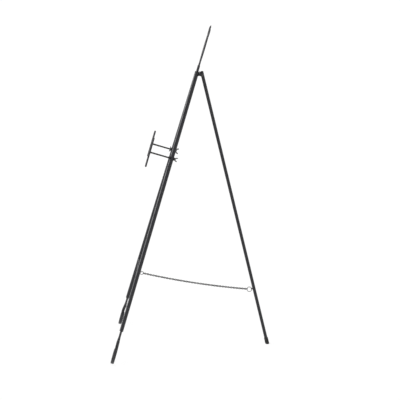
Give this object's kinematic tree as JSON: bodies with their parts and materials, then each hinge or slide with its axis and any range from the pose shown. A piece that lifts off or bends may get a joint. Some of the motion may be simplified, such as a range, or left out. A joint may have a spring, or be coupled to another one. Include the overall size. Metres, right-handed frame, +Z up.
{
  "type": "floor display easel",
  "caption": "Folding metal floor easel: leaning scroll-crested front frame on curled feet, hinged rear leg with safety chain, and adjustable picture holders.",
  "frame": {"origin": "on the floor, at the middle of the easel's bounding box", "axes": "+Z up, -Y is the front where the picture is shown, +X across the easel"},
  "size_m": [0.5966, 0.7874, 1.6233],
  "materials": {
    "black_paint": "semi-gloss",
    "black_steel": "satin",
    "dark_steel": "darkened satin",
    "black_rubber": "matt",
    "black_plastic": "satin"
  },
  "bodies": {
    "front_frame": {"front_leg_left": "black_paint", "leg_top_cap_left": "black_plastic", "tube_end_plug_left": "black_paint", "foot_scroll_left": "black_paint", "crest_scroll_left": "black_paint", "holder_front_washer_left": "black_steel", "holder_rear_washer_left": "black_steel", "front_leg_right": "black_paint", "leg_top_cap_right": "black_plastic", "tube_end_plug_right": "black_paint", "foot_scroll_right": "black_paint", "crest_scroll_right": "black_paint", "holder_front_washer_right": "black_steel", "holder_rear_washer_right": "black_steel", "crossbar": "black_paint", "chain_front_eye": "black_steel", "chain_front_ring": "dark_steel", "crest_stem": "black_paint", "crest_finial": "black_paint", "crest_collar": "black_paint", "hinge_bracket": "black_paint", "hinge_bolt": "black_steel", "hinge_nut": "black_steel", "hinge_washers": "black_steel", "chain_links": "dark_steel"},
    "rear_leg": {"rear_leg_tube": "black_paint", "rear_leg_bush": "black_steel", "rear_leg_cap": "black_plastic", "chain_rear_ring": "dark_steel", "chain_rear_staple": "black_paint", "rear_foot_cap": "black_rubber"},
    "front_nut_left": {"front_wing_nut_left": "black_steel"},
    "holder_left": {"holder_rod_left": "black_steel", "holder_upright_left": "black_paint"},
    "rear_nut_left": {"rear_wing_nut_left": "black_steel"},
    "front_nut_right": {"front_wing_nut_right": "black_steel"},
    "holder_right": {"holder_rod_right": "black_steel", "holder_upright_right": "black_paint"},
    "rear_nut_right": {"rear_wing_nut_right": "black_steel"}
  },
  "joints": [
    {"name": "rear_leg_fold", "type": "hinge", "parent": "front_frame", "child": "rear_leg", "pos_m": [0, 0.05181, 1.38589], "axis": [-1, 0, 0], "range_deg": [0, 28.5], "deforming": ["chain_links"]},
    {"name": "holder_turn_left", "type": "hinge", "parent": "front_frame", "child": "front_nut_left", "pos_m": [-0.08257, -0.09385, 0.99382], "axis": [0, 0.9588, -0.284], "continuous": true},
    {"name": "holder_depth_left", "type": "slide", "parent": "front_nut_left", "child": "holder_left", "axis": [0, 0.9588, -0.284], "range_m": [0, 0.04]},
    {"name": "rear_nut_turn_left", "type": "hinge", "parent": "front_frame", "child": "rear_nut_left", "pos_m": [-0.08257, -0.09385, 0.99382], "axis": [0, 0.9588, -0.284], "continuous": true},
    {"name": "holder_turn_right", "type": "hinge", "parent": "front_frame", "child": "front_nut_right", "pos_m": [0.08257, -0.09385, 0.99382], "axis": [0, 0.9588, -0.284], "continuous": true},
    {"name": "holder_depth_right", "type": "slide", "parent": "front_nut_right", "child": "holder_right", "axis": [0, 0.9588, -0.284], "range_m": [0, 0.04]},
    {"name": "rear_nut_turn_right", "type": "hinge", "parent": "front_frame", "child": "rear_nut_right", "pos_m": [0.08257, -0.09385, 0.99382], "axis": [0, 0.9588, -0.284], "continuous": true}
  ]
}
